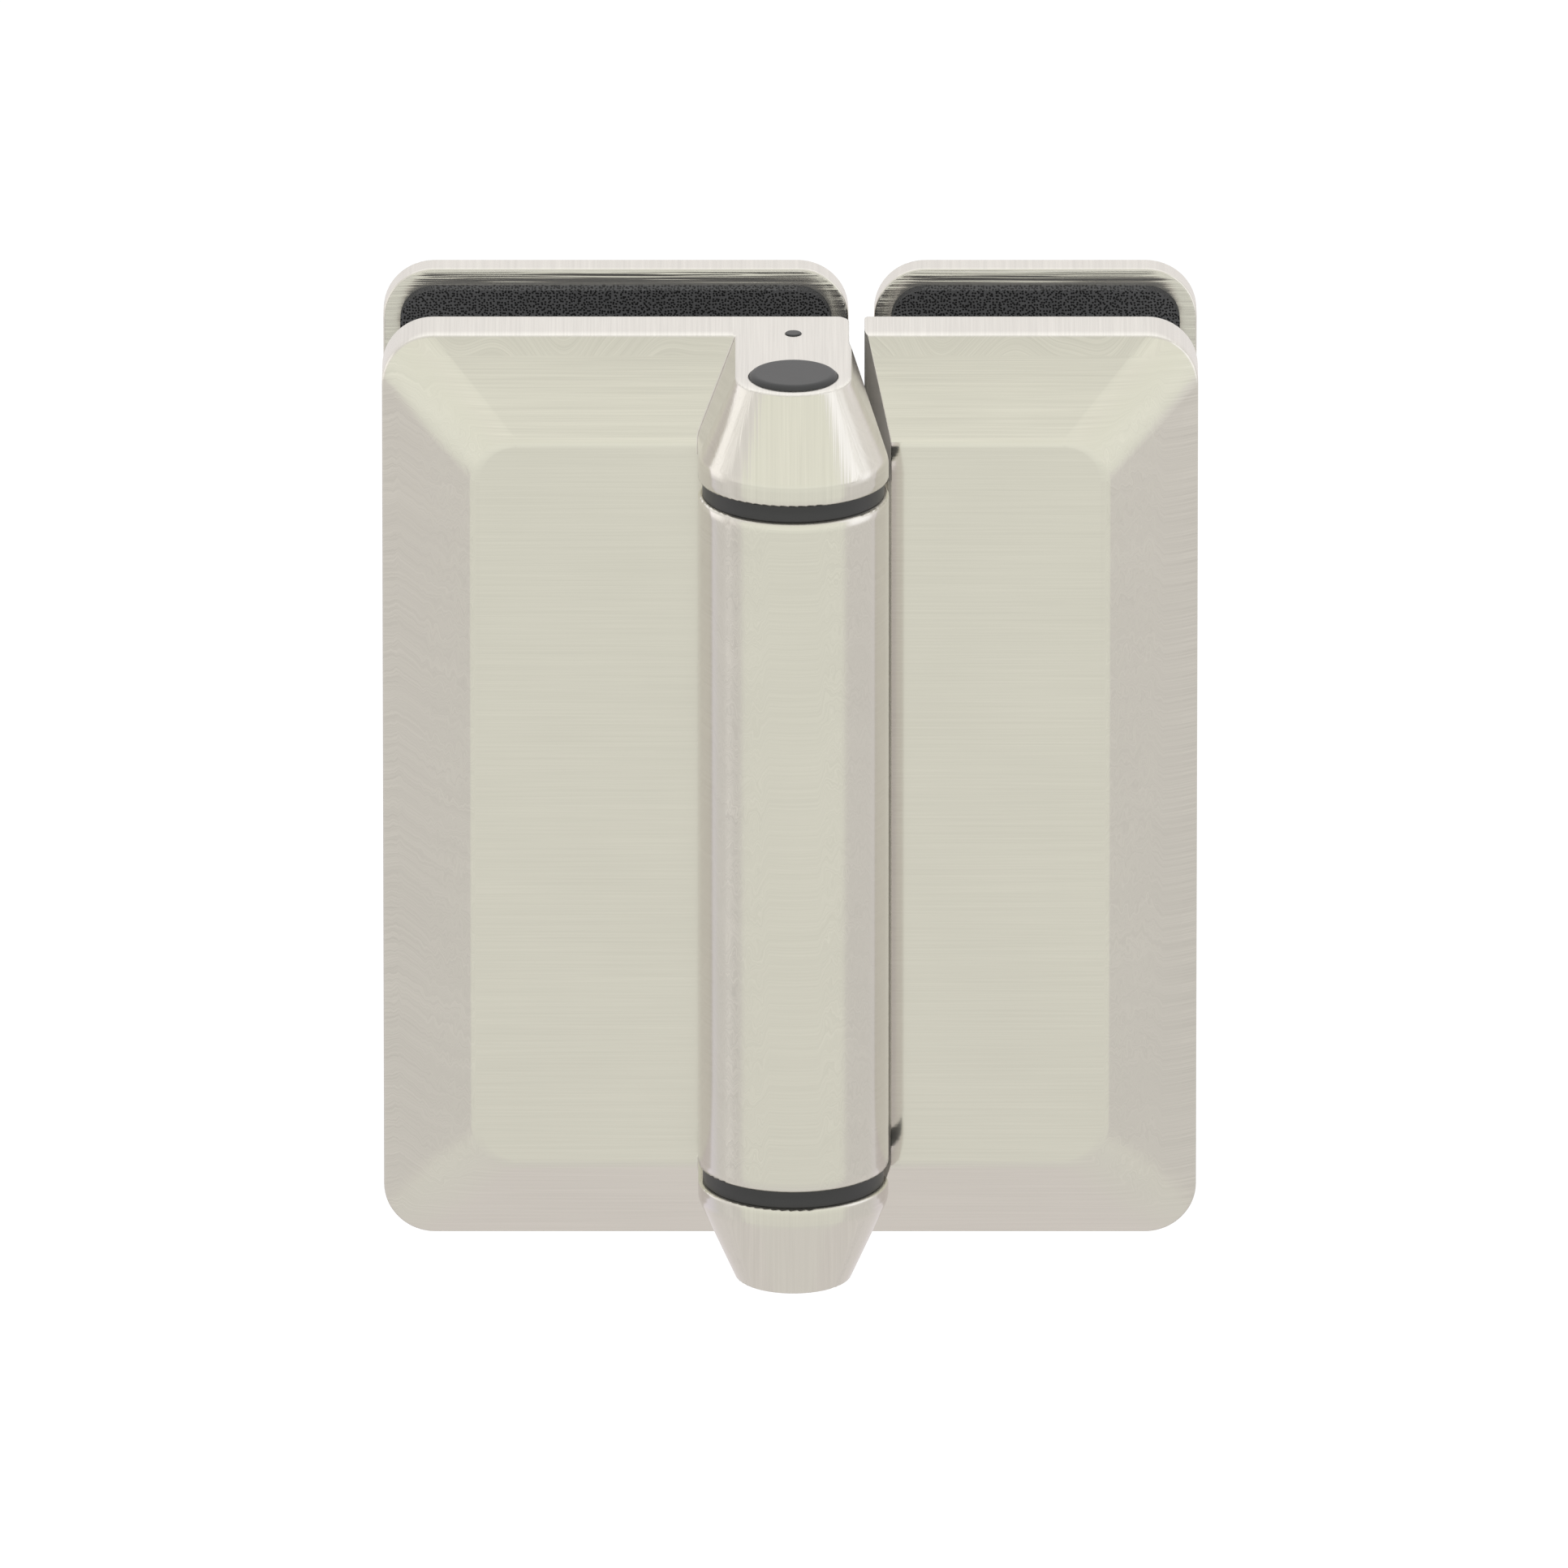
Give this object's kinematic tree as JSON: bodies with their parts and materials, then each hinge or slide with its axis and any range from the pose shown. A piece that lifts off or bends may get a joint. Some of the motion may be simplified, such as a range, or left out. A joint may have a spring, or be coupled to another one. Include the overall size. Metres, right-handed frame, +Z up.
{
  "type": "glass door hinge",
  "caption": "Self-closing glass-to-glass door hinge: two bevelled clamping leaves with back plates, joined by a vertical barrel between tapered knuckles.",
  "frame": {"origin": "on the pivot axis, at the leaves' mid height", "axes": "+Z up along the pivot axis, +Y from the front of the door to the back, +X from the pivot axis towards the gate leaf"},
  "size_m": [0.1002, 0.0562, 0.118],
  "materials": {
    "leaf_steel": "satin brushed stainless steel, horizontal grain",
    "plate_steel": "satin brushed stainless steel",
    "machined_steel": "turned steel",
    "spring_steel": "oil-tempered wire",
    "grey_plastic": "satin grey moulded plastic",
    "black_plastic": "satin black bearing plastic",
    "sleeve_plastic": "natural nylon",
    "gasket_rubber": "cellular rubber with fine open pores",
    "seal_rubber": "black nitrile"
  },
  "bodies": {
    "fixed_side": {"fixed_leaf": "leaf_steel", "fixed_back_plate": "plate_steel", "fixed_front_gasket": "gasket_rubber", "fixed_back_gasket": "gasket_rubber", "fixed_clamp_screws": "machined_steel", "fixed_screw_sleeves": "sleeve_plastic", "top_cap": "grey_plastic", "bottom_cap": "grey_plastic", "peg": "grey_plastic", "drive_key": "machined_steel", "pivot_pin": "machined_steel", "spindle": "machined_steel", "upper_washer": "black_plastic", "lower_washer": "black_plastic"},
    "gate_side": {"gate_leaf": "leaf_steel", "gate_back_plate": "plate_steel", "gland": "machined_steel", "spindle_seal": "seal_rubber", "closer_cylinder": "machined_steel", "closing_spring": "spring_steel", "end_plug": "machined_steel", "end_plug_seal": "seal_rubber", "pivot_bush": "black_plastic", "speed_screw": "machined_steel", "gate_front_gasket": "gasket_rubber", "gate_back_gasket": "gasket_rubber", "gate_clamp_screws": "machined_steel", "gate_screw_sleeves": "sleeve_plastic"},
    "piston": {"piston": "machined_steel", "cross_pin": "machined_steel", "piston_seal": "seal_rubber"}
  },
  "joints": [
    {"name": "gate_swing", "type": "hinge", "parent": "fixed_side", "child": "gate_side", "pos_m": [0, 0, 0], "axis": [0, 0, -1], "range_deg": [0, 90], "stiffness_Nm_per_rad": 1.2, "springref_deg": -57.3},
    {"name": "piston_slide", "type": "slide", "parent": "gate_side", "child": "piston", "axis": [0, 0, -1], "range_m": [0, 0.01], "deforming": ["closing_spring"]}
  ],
  "couplings": [
    {"joint": "piston_slide", "follows": "gate_swing", "m_per_rad": 0.0063662}
  ]
}
